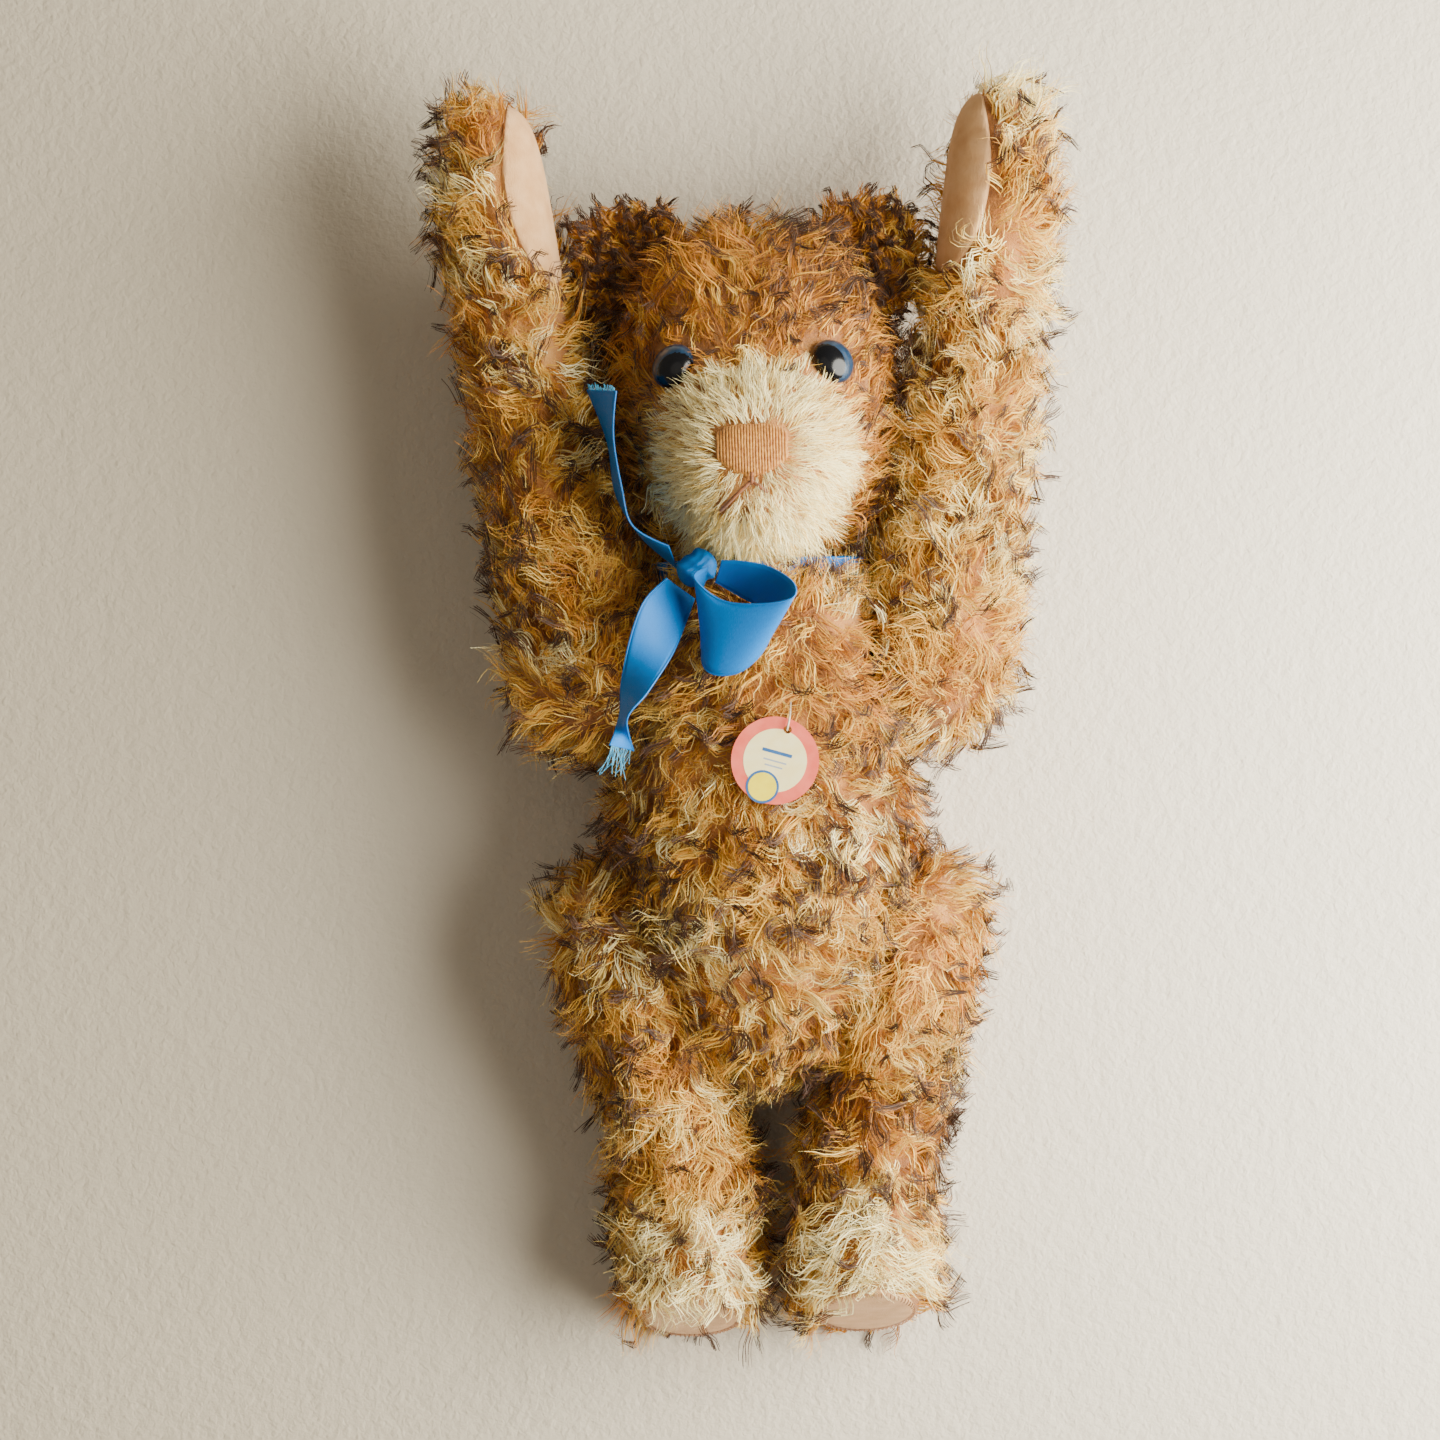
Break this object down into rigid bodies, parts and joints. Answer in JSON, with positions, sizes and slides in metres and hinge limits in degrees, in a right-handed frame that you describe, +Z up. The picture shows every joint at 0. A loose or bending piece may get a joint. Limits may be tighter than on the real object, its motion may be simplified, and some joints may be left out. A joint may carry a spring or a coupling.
{
  "type": "jointed teddy bear",
  "caption": "Stuffed bear of tipped mohair whose head, arms and legs turn on disc joints, with felt pads, glass eyes, stitched nose, satin neck ribbon and card tag.",
  "frame": {"origin": "under the middle of the bear, on the surface that its back lies on", "axes": "+Y towards the head and the raised paws, +Z up out of the belly, +X to the bear's own left"},
  "size_m": [0.1802, 0.3851, 0.1173],
  "materials": {
    "mohair": "long curly pile, matt",
    "short_pile": "short brushed pile, matt",
    "felt": "matt wool felt",
    "wood_wool": "loose fibre",
    "hardboard": "smooth board",
    "steel": "satin",
    "glass": "polished",
    "thread": "cotton thread, slight sheen",
    "cord": "twisted cotton",
    "satin": "satin ribbon",
    "card": "coated card"
  },
  "bodies": {
    "torso": {"torso_cover": "mohair", "torso_stuffing": "wood_wool", "neck_body_disc": "hardboard", "neck_body_washer": "steel", "left_shoulder_body_disc": "hardboard", "left_shoulder_body_washer": "steel", "left_hip_body_disc": "hardboard", "left_hip_body_washer": "steel", "right_shoulder_body_disc": "hardboard", "right_shoulder_body_washer": "steel", "right_hip_body_disc": "hardboard", "right_hip_body_washer": "steel", "ribbon_neck_band": "satin", "ribbon_knot": "satin", "ribbon_bow_loop": "satin", "ribbon_upper_tail": "satin", "ribbon_lower_tail": "satin", "tag_thread": "cord"},
    "head": {"head_cover": "mohair", "muzzle_panel": "short_pile", "head_stuffing": "wood_wool", "left_ear": "mohair", "right_ear": "mohair", "left_eye": "glass", "right_eye": "glass", "nose_embroidery": "thread", "mouth_embroidery": "thread", "neck_head_disc": "hardboard", "neck_head_washer": "steel", "neck_cotter_pin": "steel"},
    "left_arm": {"left_arm_cover": "mohair", "left_arm_stuffing": "wood_wool", "left_paw_pad": "felt", "left_shoulder_arm_disc": "hardboard", "left_shoulder_arm_washer": "steel", "left_shoulder_cotter_pin": "steel"},
    "left_leg": {"left_leg_cover": "mohair", "left_leg_stuffing": "wood_wool", "left_foot_pad": "felt", "left_hip_leg_disc": "hardboard", "left_hip_leg_washer": "steel", "left_hip_cotter_pin": "steel"},
    "right_arm": {"right_arm_cover": "mohair", "right_arm_stuffing": "wood_wool", "right_paw_pad": "felt", "right_shoulder_arm_disc": "hardboard", "right_shoulder_arm_washer": "steel", "right_shoulder_cotter_pin": "steel"},
    "right_leg": {"right_leg_cover": "mohair", "right_leg_stuffing": "wood_wool", "right_foot_pad": "felt", "right_hip_leg_disc": "hardboard", "right_hip_leg_washer": "steel", "right_hip_cotter_pin": "steel"},
    "tag": {"chest_tag": "card"}
  },
  "joints": [
    {"name": "neck_swivel", "type": "hinge", "parent": "torso", "child": "head", "pos_m": [0, 0.048, 0.044], "axis": [0, 1, 0], "range_deg": [-34, 34], "deforming": ["ribbon_upper_tail"]},
    {"name": "left_shoulder", "type": "hinge", "parent": "torso", "child": "left_arm", "pos_m": [0.034, 0.0225, 0.045], "axis": [-1, 0, 0], "range_deg": [-130, 12]},
    {"name": "right_shoulder", "type": "hinge", "parent": "torso", "child": "right_arm", "pos_m": [-0.034, 0.0225, 0.045], "axis": [-1, 0, 0], "range_deg": [-130, 12], "deforming": ["ribbon_lower_tail"]},
    {"name": "left_hip", "type": "hinge", "parent": "torso", "child": "left_leg", "pos_m": [0.031, -0.07, 0.041], "axis": [-0.9563, 0.2924, 0], "range_deg": [-20, 95]},
    {"name": "right_hip", "type": "hinge", "parent": "torso", "child": "right_leg", "pos_m": [-0.031, -0.07, 0.041], "axis": [-0.9563, -0.2924, 0], "range_deg": [-20, 95]},
    {"name": "tag_lift", "type": "hinge", "parent": "torso", "child": "tag", "pos_m": [0.007, 0.0005, 0.0955], "axis": [-1, 0, 0], "range_deg": [0, 60]}
  ]
}
